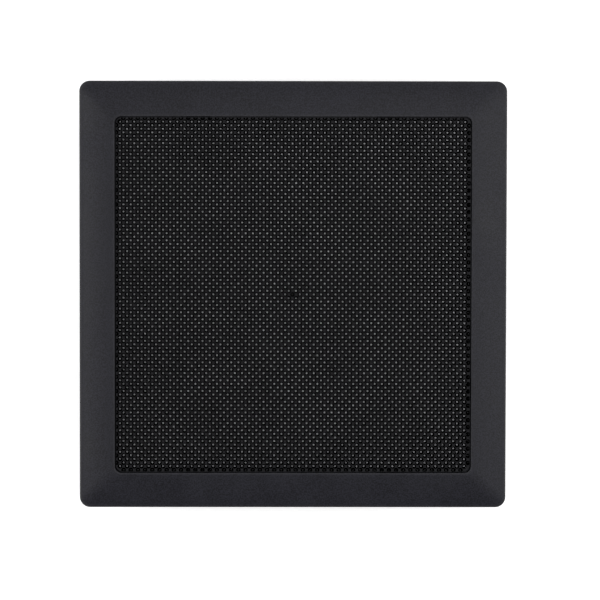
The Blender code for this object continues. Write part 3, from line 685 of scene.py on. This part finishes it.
def rear_housing(material):
    """The back shell, with its well, ledges, bosses, vents and the openings for sockets and buttons."""
    corner = 6 * MM
    turn_in = 1.4 * MM
    chamfer = 0.3 * MM
    top = HOUSING_HIGH.z
    section = []
    turn_steps = 6
    for step in range(turn_steps + 1):
        angle = math.radians(90 * step / turn_steps)
        inset = turn_in * (1 - math.sin(angle))
        section.append((inset, BACK + turn_in * (1 - math.cos(angle))))
    section += [(0, top - chamfer), (chamfer, top), (WALL, top), (WALL, FLOOR_TOP)]
    bm = bmesh.new()
    loft(bm, [rounded_square(HOUSING_HALF - inset, corner - inset, z, 16) for inset, z in section])
    housing = piece("housing_shell", bm, [material])

    raised = bmesh.new()
    disc(raised, (0, 0), WELL_R + WALL, FLOOR_TOP - MM, WELL_ROOF + 1.6 * MM, 128)
    for at in BOARD_SCREWS:
        disc(raised, at, 3.2 * MM, FLOOR_TOP - MM, BOARD_LOW.z - GAP)
    for at in corners(POST_XY):
        disc(raised, at, 4.6 * MM, FLOOR_TOP - MM, 11.7 * MM)
    join(housing, raised)

    cuts = bmesh.new()
    # The well, with a chamfer round its mouth
    chamfer = 0.6
    back, roof, well = BACK / MM, WELL_ROOF / MM, WELL_R / MM
    mouth = well + chamfer
    turned(cuts, [(-1, mouth), (back, mouth), (back + chamfer, well), (roof, well)], sides=128)
    for at in corners(POST_XY):
        pocket = [(-1, 3.6), (2.2, 3.6), (2.6, 3.2), (5, 3.2), (5, 1.8), (13, 1.8)]
        turned(cuts, pocket, (*at, 0))
    for at in corners(FOOT_XY):
        disc(cuts, at, 6.4 * MM, MM, BACK + 0.6 * MM)
    for at in BOARD_SCREWS:
        disc(cuts, at, 1.5 * MM, FLOOR_TOP + 0.6 * MM, BOARD_LOW.z + MM, 24)
    for i in range(8):
        wall_vent(cuts, (i - 3.5) * VENT_PITCH)
    for i in range(13):
        place = Matrix.Translation(((i - 6) * VENT_PITCH, -68 * MM, 0))
        carry = place @ Matrix.Rotation(math.radians(90), 4, "Z")
        oblong(cuts, ((16.8, 3.8, 1.8), (16.8, 3.8, 2.2), (16, 3, 2.6), (16, 3, 5.4)), carry)
    cut_sockets(cuts)
    cut(housing, cuts)

    ledges = bmesh.new()
    stops = bmesh.new()
    for quarter in range(4):
        middle = 90 * quarter
        outer = WELL_R + MM
        sector(ledges, 45 * MM, outer, middle, 36, 2.5 * MM, 3.4 * MM)
        for stop in (-15, 47.5):
            sector(stops, 45.6 * MM, outer, middle + stop, 3, 3 * MM, WELL_ROOF + 0.8 * MM, 1)
    join(housing, ledges)
    join(housing, stops)
    stand_in(housing, "charcoal_plastic", "rear_housing")


def wall_vent(bm, x):
    """An upright slot with round ends, through the wall opposite the sockets."""
    tall, wide, middle = 12 * MM, 3 * MM, 15 * MM
    outline = oblong_ring(tall, wide, 0)
    ends = (HOUSING_INNER - MM, HOUSING_HALF + MM)
    loft(bm, [[(x + p.y, y, middle + p.x) for p in outline] for y in ends])


def cut_sockets(bm):
    outside = -(HOUSING_HALF + MM)
    inside = -(HOUSING_INNER - MM)
    for node in JACKS:
        low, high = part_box(node)
        box(bm, (low.x - GAP, outside, low.z - GAP), (high.x + GAP, inside, high.z + GAP))
    chamfer = 0.35
    for at, radius in ((POWER, 4.6), (SYNC, 3.5), (RESET, 1.6)):
        flare = radius + chamfer
        profile = [(-1, flare), (0, flare), (chamfer, radius), (3.2, radius)]
        turned(bm, profile, (at.x, -HOUSING_HALF, at.z), INWARDS)


def wall_bracket(material):
    """The round plate that is screwed to a wall, with four hooked lugs and four countersunk slots."""
    radius = BRACKET_HIGH.x / MM
    thick = 1.8
    edge = [(0, radius - 0.4), (0.4, radius), (thick - 0.5, radius)]
    edge += [(thick - 0.15, radius - 0.15), (thick, radius - 0.5)]
    bm = bmesh.new()
    turned(bm, edge, sides=128)
    bracket = piece("bracket_plate", bm, [material], "wall_bracket")
    uprights = bmesh.new()
    lugs = bmesh.new()
    cuts = bmesh.new()
    middle_hole = [(-1, 6.5), (0, 6.5), (0.5, 6), (thick - 0.5, 6), (thick, 6.5), (3, 6.5)]
    turned(cuts, middle_hole, sides=64)
    for quarter in range(4):
        middle = 90 * quarter
        sector(uprights, 40 * MM, 44.4 * MM, middle, 24, (thick - 1) * MM, 4.9 * MM)
        sector(lugs, 41 * MM, 49 * MM, middle, 23.6, 3.7 * MM, 5 * MM)
        turn = Matrix.Rotation(math.radians(middle + 45), 4, "Z")
        carry = turn @ Matrix.Translation((30 * MM, 0, 0))
        # Countersunk on the side that the screws' heads rest on
        oblong(cuts, ((12, 4.4, -1), (12, 4.4, 0.9), (14.6, 7, thick), (14.6, 7, 3)), carry)
    join(bracket, uprights)
    join(bracket, lugs)
    cut(bracket, cuts)
    stand_in(bracket, "charcoal_plastic", "wall_bracket")


def copies(name, first, nodes, slot):
    """Copies of a piece at the middles of other nodes, sharing its mesh."""
    for number, node in enumerate(nodes[1:], 2):
        obj = new_object(f"{name}_{number}", first.data)
        at = middle_of(node)
        obj.location = (at.x, at.y, 0)
        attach(obj, "housing")
        stand_in(obj, slot, node)


def feet(material):
    nodes = [f"foot_{i}" for i in range(1, 5)]
    profile = [(0.05, 3.6), (0, 4.4), (0, 5.4), (0.12, 5.8), (0.4, 6.05), (0.8, 6.1), (2.5, 6.1)]
    bm = bmesh.new()
    turned(bm, profile, sides=64)
    at = middle_of(nodes[0])
    first = piece("foot_pad_1", bm, [material], location=(at.x, at.y, 0))
    stand_in(first, "rubber", nodes[0])
    copies("foot_pad", first, nodes, "rubber")


def screws(name, node, profile, recess, material):
    """Four screws with a cross recess, which goes from the first height to the second, in millimetres."""
    nodes = [f"{node}_{i}" for i in range(1, 5)]
    arm, half_width = 1.7, 0.42
    bm = bmesh.new()
    turned(bm, profile, sides=32)
    at = middle_of(nodes[0])
    first = piece(f"{name}_1", bm, [material], location=(at.x, at.y, 0))
    for turn in (0, 90):
        carry = Matrix.Translation((at.x, at.y, 0)) @ Matrix.Rotation(math.radians(turn), 4, "Z")
        rings = []
        for z, share in zip(recess, (1, 0.45)):
            x, y = arm * share * MM, half_width * (0.5 + share / 2) * MM
            outline = ((-x, -y), (x, -y), (x, y), (-x, y))
            rings.append([carry @ Vector((*point, z * MM)) for point in outline])
        slot = bmesh.new()
        loft(slot, rings)
        cut(first, slot)
    stand_in(first, "screw_steel", nodes[0])
    copies(name, first, nodes, "screw_steel")


# ---------------- sockets and buttons


JACK_RIM = 0.75 * MM  # of the shell, round the recess for the insert's own face
JACK_FACE = 0.7 * MM  # depth of that recess
CONTACT_PITCH = 1.02 * MM
COMB_REACH = 5.9  # half the width in millimetres of the comb, which fills the opening


def network_jack(node, metal, plastic, gold):
    """A shielded eight-way socket: pressed shell, dark insert and eight sprung contacts."""
    low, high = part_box(node)
    x = (low.x + high.x) / 2
    jack_shell(node, low, high, x, metal, plastic)
    jack_face(node, low, high, x, plastic)
    jack_contacts(node, low.y, x, gold)
    jack_comb(node, low.y, x, plastic)


def jack_opening(bm, x, front, depth):
    """Cuts the plug's way in: wide, with two steps down for the plug's latch."""
    side = []
    for half, bottom, top in ((1.95, 11.6, 12.8), (3.1, 12.8, 14.6), (5.95, 14.6, 21.5)):
        side += [(half * MM, 0, bottom * MM), (half * MM, 0, top * MM)]
    outline = side + [(-px, py, pz) for px, py, pz in reversed(side)]
    prism(bm, outline, (x, front - MM, 0), (0, depth + MM, 0))


def inside_rim(low, high, inset, near, far):
    """The corners of a block that stays inside the shell's outer edge."""
    return (low.x + inset, low.y + near, low.z + inset), (high.x - inset, low.y + far, high.z - inset)


def jack_shell(node, low, high, x, metal, plastic):
    front = low.y
    bm = bmesh.new()
    rounded_block(bm, low, high, 0.35 * MM)
    shell = piece(f"{node}_shell", bm, [metal, plastic])
    depth = 13 * MM
    opening = bmesh.new()
    jack_opening(opening, x, front, depth)
    cut(shell, opening)
    recess = bmesh.new()
    box(recess, *inside_rim(low, high, JACK_RIM, -MM, JACK_FACE))
    cut(shell, recess)
    # Two sprung tabs of the shell on each side, slightly proud of it
    tabs = bmesh.new()
    for sign in (-1, 1):
        for z in (14.5 * MM, 19 * MM):
            edge = x + sign * (high.x - low.x) / 2
            near, far = sorted((edge - sign * 0.5 * MM, edge + sign * 0.12 * MM))
            tab_low, tab_high = (near, front + 1.5 * MM, z - MM), (far, front + 6 * MM, z + MM)
            rounded_block(tabs, tab_low, tab_high, 0.1 * MM)
    join(shell, tabs)

    # The walls of the opening are plastic
    for face in shell.data.polygons:
        at = face.center
        deep = front + 0.6 * MM < at.y < front + depth + 0.5 * MM
        if deep and abs(at.x - x) < (COMB_REACH + 0.1) * MM and 11.5 * MM < at.z < 21.6 * MM:
            face.material_index = 1
    stand_in(shell, "tinned_steel", node)


def jack_face(node, low, high, x, plastic):
    """The insert's own face, let into the front of the pressed shell."""
    slack = 0.06 * MM
    bm = bmesh.new()
    rounded_block(bm, *inside_rim(low, high, JACK_RIM + slack, 0.1 * MM, JACK_FACE - slack), 0.1 * MM)
    face = piece(f"{node}_face", bm, [plastic])
    mouth = bmesh.new()
    jack_opening(mouth, x, low.y, 3 * MM)
    cut(face, mouth)
    stand_in(face, "black_plastic")


def jack_contacts(node, front, x, gold):
    bm = bmesh.new()
    wire = 0.18 * MM  # half the wire's thickness
    path = [(11.6, 15.4), (9.2, 16.2), (3.4, 20.2), (1.6, 20.9), (1.0, 20.8)]  # depth and height
    for k in range(8):
        left = x + (k - 3.5) * CONTACT_PITCH - wire
        above = [(0, front + y * MM, z * MM + wire) for y, z in path]
        below = [(0, front + y * MM, z * MM - wire) for y, z in reversed(path)]
        prism(bm, above + below, (left, 0, 0), (2 * wire, 0, 0))
    stand_in(piece(f"{node}_contacts", bm, [gold]), "brass")


def jack_comb(node, front, x, plastic):
    """The comb that keeps the contacts apart, at the back of the opening."""
    at = Vector((x, front, 0))
    bottom = 15
    bm = bmesh.new()
    rounded_block(bm, at + mm(-COMB_REACH, 11, bottom), at + mm(COMB_REACH, 12.9, 21.3), 0.15 * MM)
    for k in range(9):
        tooth = at + Vector(((k - 4) * CONTACT_PITCH, 0, 0))
        rounded_block(bm, tooth + mm(-0.15, 8.6, bottom), tooth + mm(0.15, 11.2, 17.4), 0.06 * MM, 1)
    stand_in(piece(f"{node}_comb", bm, [plastic]), "black_plastic")


def power_inlet(plastic, metal):
    low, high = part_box("power_inlet")
    nose = low.y
    back_of_wall = -(HOUSING_INNER - GAP)
    mouth = Vector((POWER.x, nose, POWER.z))
    half = 4.6 * MM
    bm = bmesh.new()
    rounded_block(bm, (POWER.x - half, back_of_wall, ON_BOARD), (POWER.x + half, high.y, high.z), 0.3 * MM)
    inlet = piece("inlet_body", bm, [plastic])
    snout = bmesh.new()
    turned(snout, [(0, 3.7), (0.12, 4.0), (0.4, 4.2), (3.6, 4.2)], mouth, INWARDS)
    join(inlet, snout)
    barrel = bmesh.new()
    turned(barrel, [(-1, 3.3), (0, 3.3), (0.3, 3), (10, 3)], mouth, INWARDS)
    cut(inlet, barrel)
    stand_in(inlet, "black_plastic", "power_inlet")

    pin = bmesh.new()
    tip = [(0.6, 0.35), (0.7, 0.65), (0.9, 0.88), (1.2, 1), (10, 1)]
    turned(pin, tip, mouth, INWARDS, 32)
    # The sprung contact along the floor of the barrel
    rounded_block(pin, mouth + mm(-0.9, 2, -2.95), mouth + mm(0.9, 9.8, -2.6), 0.1 * MM)
    stand_in(piece("inlet_pin_and_spring", pin, [metal]), "brass", "inlet_pin")


def buttons(material):
    """Each has a cap, a collar that rests on the wall's inner face, and a stem that reaches its switch."""
    dished = [(-0.55, 1.2), (-0.62, 1.9), (-0.78, 2.45), (-0.8, 2.7)]
    dished += [(-0.72, 2.98), (-0.5, 3.14), (-0.2, 3.2)]
    domed = [(1.0, 0.95), (1.06, 1.12), (1.25, 1.2)]
    for name, at, cap, radius, collar, stem in (
        ("sync_button", SYNC, dished, 3.2, 4.3, 1.5),
        ("reset_button", RESET, domed, 1.2, 2.4, 1.2),
    ):
        profile = [*cap, (2.5, radius), (2.5, collar), (3.4, collar), (3.4, stem), (6.4, stem)]
        bm = bmesh.new()
        turned(bm, profile, axis=INWARDS, sides=64)
        made = piece(f"{name}_cap", bm, [material], name, (at.x, -HOUSING_HALF, at.z))
        stand_in(made, "black_plastic", name)


def switches(plastic, metal):
    for name in ("sync_switch", "reset_switch"):
        low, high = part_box(name)
        x, z = (low.x + high.x) / 2, SYNC.z
        front = low.y + 0.8 * MM
        edge = 0.1 * MM
        bm = bmesh.new()
        rounded_block(bm, (low.x, front + 0.6 * MM, low.z), high, 0.2 * MM)
        # A pressed steel face with four rivets, and the key
        plate_high = (high.x - edge, front + 0.7 * MM, high.z - edge)
        rounded_block(bm, (low.x + edge, front, low.z + edge), plate_high, 0.15 * MM, 2, 1)
        for dx, dz in corners(2.2 * MM):
            rivet = [(-0.12, 0.35), (0, 0.45), (0.4, 0.45)]
            turned(bm, rivet, (x + dx, front, z + dz), INWARDS, 16)
        turned(bm, [(-0.8, 1.2), (-0.65, 1.4), (1, 1.4)], (x, front, z), INWARDS, 32)
        stand_in(piece(f"{name}_body", bm, [plastic, metal]), "black_plastic", name)


def light_pipe(material):
    """A cup over the status light, a tapering stem, and an oblong head in the screen's window."""
    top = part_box("led_light_pipe")[1].z / MM
    bm = bmesh.new()
    profile = [(ON_BOARD / MM, 3.2), (13.3, 3.2), (13.5, 3.0), (14, 1.5), (14.6, 1.25), (31.5, 1)]
    turned(bm, profile)
    pipe = piece("light_pipe", bm, [material])
    head = bmesh.new()
    oblong(head, ((4.4, 1.6, 31), (4.8, 2, 31.2), (4.8, 2, top - 0.2), (4.4, 1.6, top)))
    join(pipe, head)
    hollow = bmesh.new()
    turned(hollow, [(9, 2.4), (11.6, 2.4), (12.2, 1.9), (12.4, 1)])
    cut(pipe, hollow)
    stand_in(pipe, "smoked_lens", "led_light_pipe")


# ---------------- electronics


def heat_sink(material):
    """An extruded comb with rounded fin tips, and two ears that take its pins."""
    low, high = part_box("heat_sink")
    x0, x1, y0, y1 = low.x, high.x, -40 * MM, 16 * MM
    fins = 11
    fin = 1.4 * MM
    tip = 0.35 * MM
    base, top = low.z, high.z
    base_top = base + 2.5 * MM
    pitch = (x1 - x0 - fin) / (fins - 1)
    outline = [(x0, base)]
    for i in range(fins):
        left = x0 + i * pitch
        right = left + fin
        if i:
            outline.append((left, base_top))
        outline += [(left, top - tip), (left + tip, top), (right - tip, top), (right, top - tip)]
        if i < fins - 1:
            outline.append((right, base_top))
    outline.append((x1, base))
    bm = bmesh.new()
    prism(bm, [(x, 0, z) for x, z in outline], (0, y0, 0), (0, y1 - y0, 0))
    sink = piece("fin_block", bm, [material])
    ears = bmesh.new()
    holes = bmesh.new()
    for number, inward in ((1, 1), (2, -1)):
        at = middle_of(f"heat_sink_pin_{number}")
        half = 4 * MM
        near, far = sorted((at.y - half * inward, at.y + 6 * MM * inward))
        ear_low, ear_high = (at.x - half, near, base + 0.2 * MM), (at.x + half, far, base_top - 0.2 * MM)
        rounded_block(ears, ear_low, ear_high, 0.3 * MM)
        disc(holes, (at.x, at.y), 1.7 * MM, base - MM, base_top + MM, 32)
    join(sink, ears)
    cut(sink, holes)
    stand_in(sink, "aluminium", "heat_sink")


def sink_pins(plastic):
    """Split plastic pins that hold the heat sink's ears to the board."""
    for number in (1, 2):
        node = f"heat_sink_pin_{number}"
        at = middle_of(node)
        at.z = 0
        bm = bmesh.new()
        shank = [(7.6, 0.6), (8.1, 1.3), (16.6, 1.3)]
        head = [(16.6, 2.4), (16.8, 2.6), (18.2, 2.6), (18.5, 2.4), (18.6, 2.0)]
        turned(bm, shank + head, sides=32)
        pin = piece(f"sink_pin_{number}", bm, [plastic], location=at)
        slit = bmesh.new()
        box(slit, at + mm(-2, -0.25, 18), at + mm(2, 0.25, 20))
        cut(pin, slit)
        stand_in(pin, "white_plastic", node)


def shield(node, material, rows, columns):
    """A pressed can with rounded edges, vent holes in its lid and a folded skirt."""
    low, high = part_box(node)
    sheet = 0.4 * MM
    bm = bmesh.new()
    rounded_block(bm, low, high, 0.45 * MM, 3)
    can = piece(f"{node}_can", bm, [material])
    cuts = bmesh.new()
    inner = Vector((sheet, sheet, sheet))
    open_below = Vector((0, 0, sheet + MM))
    box(cuts, low + inner - open_below, high - inner)
    cut(can, cuts)
    holes = bmesh.new()
    for x in spaced(low.x, high.x, columns):
        for y in spaced(low.y, high.y, rows):
            disc(holes, (x, y), 0.6 * MM, high.z - MM, high.z + MM, 16)
    # Slots in the skirt, between its fingers
    slot = mm(0.4, 0.6, 1.1)  # half its size
    for y in (low.y, high.y):
        for x in spaced(low.x, high.x, 5):
            middle = Vector((x, y, low.z + 0.1 * MM))
            box(holes, middle - slot, middle + slot)
    cut(can, holes)
    stand_in(can, "tinned_steel", node)


def spaced(low, high, count):
    return [low + (high - low) * (i + 1) / (count + 1) for i in range(count)]


def on_board(bm, x, y, width, depth, top, bottom=-SUNK, radius=0.0, segments=1, material=0):
    """A block that stands on the board, from its middle and its size in millimetres."""
    level = Vector((0, 0, BOARD_HIGH.z))
    low = mm(x - width / 2, y - depth / 2, bottom) + level
    high = mm(x + width / 2, y + depth / 2, top) + level
    rounded_block(bm, low, high, radius * MM, segments, material)


def board_parts(black, metal, tan):
    """Chips, coils, capacitors and transformers on the main board, clear of the named pieces."""
    chips = bmesh.new()
    for middle_and_size in (
        (32, -56, 14, 14, 1.2), (54, -57, 10, 7, 1.0), (-34, 35, 12, 9, 1.1), (24, 31, 13, 8, 1.1),
        (42, 32, 13, 8, 1.1), (-40, -55, 7, 7, 0.9), (-8, 22, 5, 5, 0.9), (0, -30, 6, 5, 1.0),
        (64, -30, 4, 5, 0.9), (-12, -20, 6, 6, 0.9),
    ):
        chip(chips, *middle_and_size)
    stand_in(piece("board_chips", chips, [black, metal]), "black_plastic")

    transformers = bmesh.new()
    for jack_x in JACKS.values():
        x = jack_x / MM
        on_board(transformers, x, -58.5, 16, 9, 5.4, bottom=0.2, radius=0.5, segments=2)
        for k in range(8):
            for y in (-63.6, -53.4):
                on_board(transformers, x + (k - 3.5) * 1.9, y, 0.6, 1.6, 0.4, radius=0.08, material=1)
    stand_in(piece("line_transformers", transformers, [black, metal]), "black_plastic")

    coils = bmesh.new()
    for x, y in ((-58, -62), (-50, -62), (-62, -54), (8, 26), (64, 4), (64, 14)):
        on_board(coils, x, y, 5.2, 5.2, 2.8, radius=0.5, segments=2)
    stand_in(piece("board_coils", coils, [tan]), "thermal_pad")

    cans = bmesh.new()
    large, little = (3.1, 7.5), (2.5, 5.8)  # radius and height
    for x, y, (radius, tall) in ((-40, -74, large), (-62, -63, little), (48, -72, large), (56, -72, large)):
        # Upright, with a groove rolled in near the foot and a rounded rim
        groove = [(0.9, radius), (1.2, radius - 0.2), (1.5, radius)]
        profile = [(0, radius), (0.3, radius), *groove, (tall - 0.3, radius), (tall, radius - 0.3)]
        turned(cans, profile, (x * MM, y * MM, BOARD_HIGH.z - SUNK * MM), sides=32)
    stand_in(piece("board_capacitor_cans", cans, [metal]), "aluminium")

    small = bmesh.new()
    for x0, y0, count, step, along_x in (
        (22, -44.5, 8, 2.2, 1), (-18, -8, 6, 2.4, 0), (-18, 8, 5, 2.4, 0), (-16, 36, 12, 2.3, 1),
        (18, 40, 12, 2.3, 1), (44, -46, 8, 2.3, 1), (-14, -46, 9, 2.3, 1), (66, -56, 6, 2.4, 0),
        (6, -14, 4, 2.4, 0), (-46, -48, 7, 2.2, 1), (-30, 41, 6, 2.3, 1), (2, 10, 4, 2.4, 0),
    ):
        for k in range(count):
            at = (x0 + k * step, y0) if along_x else (x0, y0 + k * step)
            small_part(small, *at, along_x)
    stand_in(piece("board_small_parts", small, [tan, metal]), "thermal_pad")


def chip(bm, x, y, width, depth, tall):
    """A flat package with a row of leads on each long side."""
    on_board(bm, x, y, width, depth, tall, bottom=0.1, radius=0.12)
    pitch = 0.8
    count = int(width / pitch) - 1
    for k in range(count):
        for sign in (-1, 1):
            lead_y = y + sign * (depth / 2 + 0.25)
            on_board(bm, x + (k - (count - 1) / 2) * pitch, lead_y, 0.3, 0.9, 0.25, material=1)


def small_part(bm, x, y, row_along_x):
    """A ceramic body between two metal ends, set across its row."""
    long, wide, tall = 1.6, 0.8, 0.7
    for low, high, material in ((-0.5, -0.28, 1), (-0.3, 0.3, 0), (0.28, 0.5, 1)):
        grow = 0.03 if material else 0
        shift = (low + high) / 2 * long
        length, width = (high - low) * long, wide + 2 * grow
        place = (x, y + shift, width, length) if row_along_x else (x + shift, y, length, width)
        on_board(bm, *place, tall + grow - SUNK, radius=0.05, material=material)


ANTENNA_SIDES = ("left", "upper_left", "upper_right", "right")


def antenna_traces(copper):
    """The printed copper of each antenna: a folded line on its inner face."""
    width = 1.1 * MM
    margin = 4 * MM
    turns = 9
    lower, upper = 1.2 * MM, 8.8 * MM  # the folds' heights above the antenna's lower edge
    for side in ANTENNA_SIDES:
        low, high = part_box(f"antenna_{side}")
        pitch = (max(high.x - low.x, high.y - low.y) - 2 * margin) / turns
        bm = bmesh.new()
        for k in range(turns + 1):
            along = margin + k * pitch
            strip(bm, low, high, (along - width / 2, lower), (along + width / 2, upper))
            if k < turns:
                z = lower if k % 2 else upper
                strip(bm, low, high, (along, z - width / 2), (along + pitch, z + width / 2))
        stand_in(piece(f"antenna_trace_{side}", bm, [copper]), "brass")


def strip(bm, low, high, start, end):
    """Flat copper on the inner face, between two points given as a distance along it and a height."""
    thick = 0.04 * MM
    along, across = (0, 1) if high.x - low.x > high.y - low.y else (1, 0)
    face = min(low[across], high[across], key=abs)
    near, far = Vector(low), Vector(low)
    near[across], far[across] = sorted((face, face - math.copysign(thick, face)))
    for corner, (distance, height) in ((near, start), (far, end)):
        corner[along] += distance
        corner.z += height
    rounded_block(bm, near, far, 0)


def coax_plugs(metal):
    profile = [(10.02, 1.0), (10.1, 1.2), (10.3, 1.2), (10.3, 1.4), (11.7, 1.4), (11.9, 1.3), (12.1, 1.1)]
    for side in ANTENNA_SIDES:
        node = f"coax_plug_{side}"
        at = middle_of(node)
        bm = bmesh.new()
        turned(bm, profile, sides=32)
        stand_in(piece(f"coax_socket_{side}", bm, [metal], location=(at.x, at.y, 0)), "brass", node)


def dress(node, material):
    """Gives a CAD node that keeps its own shape one of the finishes made here."""
    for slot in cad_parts[node].material_slots:
        slot.material = material


# ---------------- the whole scene

make_camera()
make_studio()

paper = grained("studio_floor", (0.9, 0.9, 0.9), (0.92, 0.92, 0.92), (0.8, 0.9), 3, 0.01, specular=0.1)
# The charcoal's sharp edges are lightened by a painted highlight
charcoal = grained(
    "charcoal_finish", (0.0045, 0.0045, 0.0062), (0.0165, 0.0165, 0.0229), (0.4, 0.52), 0.55, 0.06,
    specular=0.18, edge_highlight=0.05,
)
black = grained(
    "black_finish", (0.0038, 0.0038, 0.0045), (0.0145, 0.0145, 0.0166), (0.48, 0.62), 0.5, 0.03,
    specular=0.1,
)
# Painted shade: the hole walls' near-black, matt colour stands in for the shade inside the holes
hole_wall_shade = grained(
    "hole_wall_painted_shade", (0.0004, 0.0004, 0.0004), (0.0008, 0.0008, 0.0008), (0.8, 0.9), 0.6, 0.002, specular=0.0
)
# The weave gets painted shade in a band round its edge
weave = woven(
    "weave_finish", (0.38, 0.38, 0.4), (0.8, 0.8, 0.83), 0.36 * MM, 0.02 * MM,
    half=SCREEN_HIGH.x, shade_band=16 * MM,
)
rubber = grained(
    "rubber_finish", (0.015, 0.015, 0.015), (0.024, 0.024, 0.024), (0.7, 0.85), 0.4, 0.01, specular=0.3
)
gloss_black = grained("socket_plastic", (0.012, 0.012, 0.012), (0.018, 0.018, 0.018), (0.3, 0.4), 0.5, 0.003)
tin = metal("tin_finish", (0.5, 0.5, 0.49), (0.64, 0.64, 0.62), (0.28, 0.42), 0.7, 0.004)
aluminium = metal("aluminium_finish", (0.55, 0.55, 0.56), (0.68, 0.68, 0.69), (0.3, 0.45), 0.5, 0.006)
steel = metal("steel_finish", (0.34, 0.34, 0.35), (0.46, 0.46, 0.47), (0.25, 0.4), 0.4, 0.003)
gold = metal("gold_finish", (0.78, 0.55, 0.22), (0.86, 0.64, 0.3), (0.2, 0.32), 0.3, 0.002)
copper = metal("copper_finish", (0.7, 0.36, 0.2), (0.8, 0.45, 0.27), (0.3, 0.42), 0.4, 0.002)
laminate = grained("laminate_finish", (0.008, 0.04, 0.022), (0.014, 0.065, 0.036), (0.3, 0.42), 0.8, 0.012)
pad = grained("pad_finish", (0.3, 0.32, 0.36), (0.38, 0.4, 0.44), (0.85, 0.95), 0.4, 0.01, specular=0.2)
white = grained("white_finish", (0.66, 0.66, 0.63), (0.76, 0.76, 0.73), (0.4, 0.5), 0.5, 0.004)
ceramic = grained("ceramic_finish", (0.24, 0.17, 0.1), (0.34, 0.25, 0.16), (0.4, 0.55), 0.3, 0.003)
smoked = grained("smoked_finish", (0.004, 0.004, 0.0045), (0.007, 0.007, 0.0075), (0.12, 0.2), 0.8, 0.001)

glow(paper, 0.42)
floor(paper)
front_bezel(charcoal)
grille_panel(black, hole_wall_shade)
panel_tongues(black)
dust_screen(weave)
rear_housing(charcoal)
wall_bracket(charcoal)
feet(rubber)
case_screw = [(2.6, 2.6), (2.75, 2.8), (4.6, 2.8), (4.6, 1.5), (19.5, 1.5), (20.3, 0.7)]
screws("case_screw", "housing_screw", case_screw, (2.3, 4.1), steel)
pan_screw = [(5.6, 0.6), (6.1, 1.2), (10.3, 1.2), (10.3, 2.8), (11.3, 2.8), (11.75, 2.5), (12, 1.9)]
screws("pan_screw", "board_screw", pan_screw, (12.3, 10.8), steel)
for node in JACKS:
    network_jack(node, tin, gloss_black, gold)
power_inlet(gloss_black, gold)
buttons(gloss_black)
switches(gloss_black, tin)
light_pipe(smoked)
heat_sink(aluminium)
sink_pins(white)
shield("processor_shield", tin, 3, 3)
shield("radio_shield_low_band", tin, 4, 5)
shield("radio_shield_high_band", tin, 4, 5)
board_parts(gloss_black, tin, ceramic)
antenna_traces(copper)
coax_plugs(gold)
dress("main_board", laminate)
dress("processor", gloss_black)
dress("thermal_pad", pad)
dress("status_led", white)
for side in ANTENNA_SIDES:
    dress(f"antenna_{side}", laminate)
    dress(f"antenna_lead_{side}", gloss_black)
